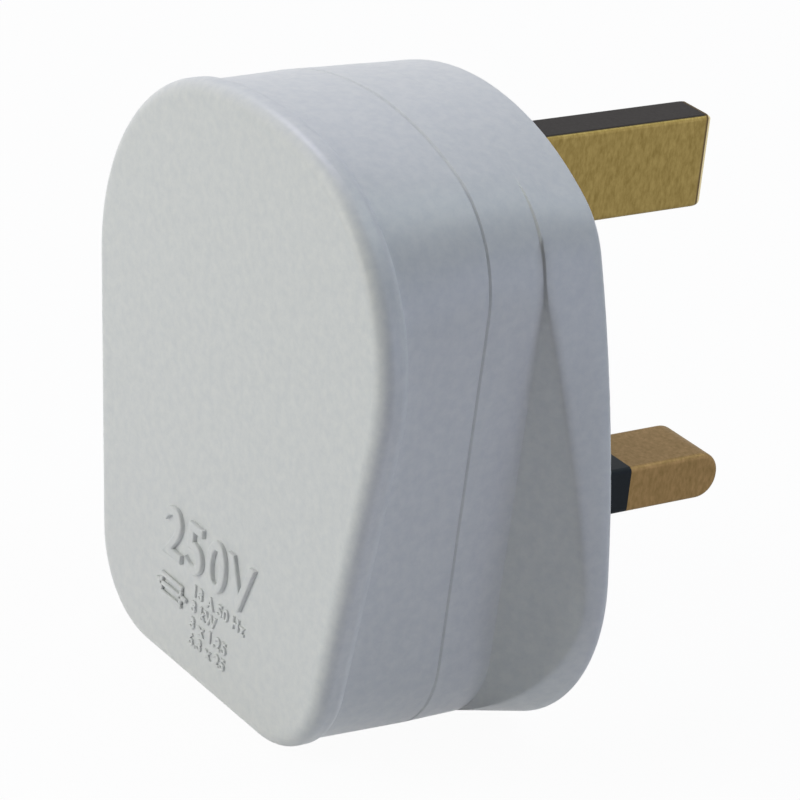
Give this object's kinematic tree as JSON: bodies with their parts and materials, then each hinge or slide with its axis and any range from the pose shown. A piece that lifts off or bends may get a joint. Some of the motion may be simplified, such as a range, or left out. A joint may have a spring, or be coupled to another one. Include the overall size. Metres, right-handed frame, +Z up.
{
  "type": "uk three pin plug",
  "caption": "Rewirable fused mains plug: moulded base and cover joined by a screw, flat brass pins with insulating sleeves, and a cartridge fuse, screw terminals and cord grip inside.",
  "frame": {"origin": "on the engagement face, midway between the axes of the line and neutral pins", "axes": "+Y out of the engagement face towards the pin tips, +Z up from the live pins to the earth pin, +X towards the line pin"},
  "size_m": [0.0482, 0.0443, 0.0503],
  "materials": {
    "white_moulding": "moulded urea resin, satin",
    "pin_brass": "solid brass, satin, tarnished on its narrow faces",
    "sleeve_black": "moulded nylon, satin black",
    "terminal_brass": "turned brass",
    "clip_bronze": "pressed spring bronze",
    "screw_steel": "zinc plated steel",
    "washer_fibre": "pressed vulcanised fibre",
    "fuse_ceramic": "unglazed ceramic",
    "fuse_cap": "nickel plated brass",
    "fuse_element": "tinned wire"
  },
  "bodies": {
    "root": {"base_housing": "white_moulding", "cover_housing": "white_moulding", "earth_pin": "pin_brass", "neutral_pin": "pin_brass", "line_pin": "pin_brass", "neutral_pin_sleeve": "sleeve_black", "line_pin_sleeve": "sleeve_black", "line_terminal": "terminal_brass", "cover_screw_insert": "terminal_brass", "line_pin_fuse_clip": "clip_bronze", "line_terminal_fuse_clip": "clip_bronze", "earth_terminal_screw": "screw_steel", "neutral_terminal_screw": "screw_steel", "line_terminal_screw": "screw_steel", "cover_screw": "screw_steel", "cord_grip_screw_left": "screw_steel", "cord_grip_screw_right": "screw_steel", "cover_screw_washer": "washer_fibre", "cord_grip_bar": "washer_fibre", "fuse_tube": "fuse_ceramic", "fuse_lower_cap": "fuse_cap", "fuse_upper_cap": "fuse_cap", "fuse_wire": "fuse_element"}
  },
  "joints": []
}
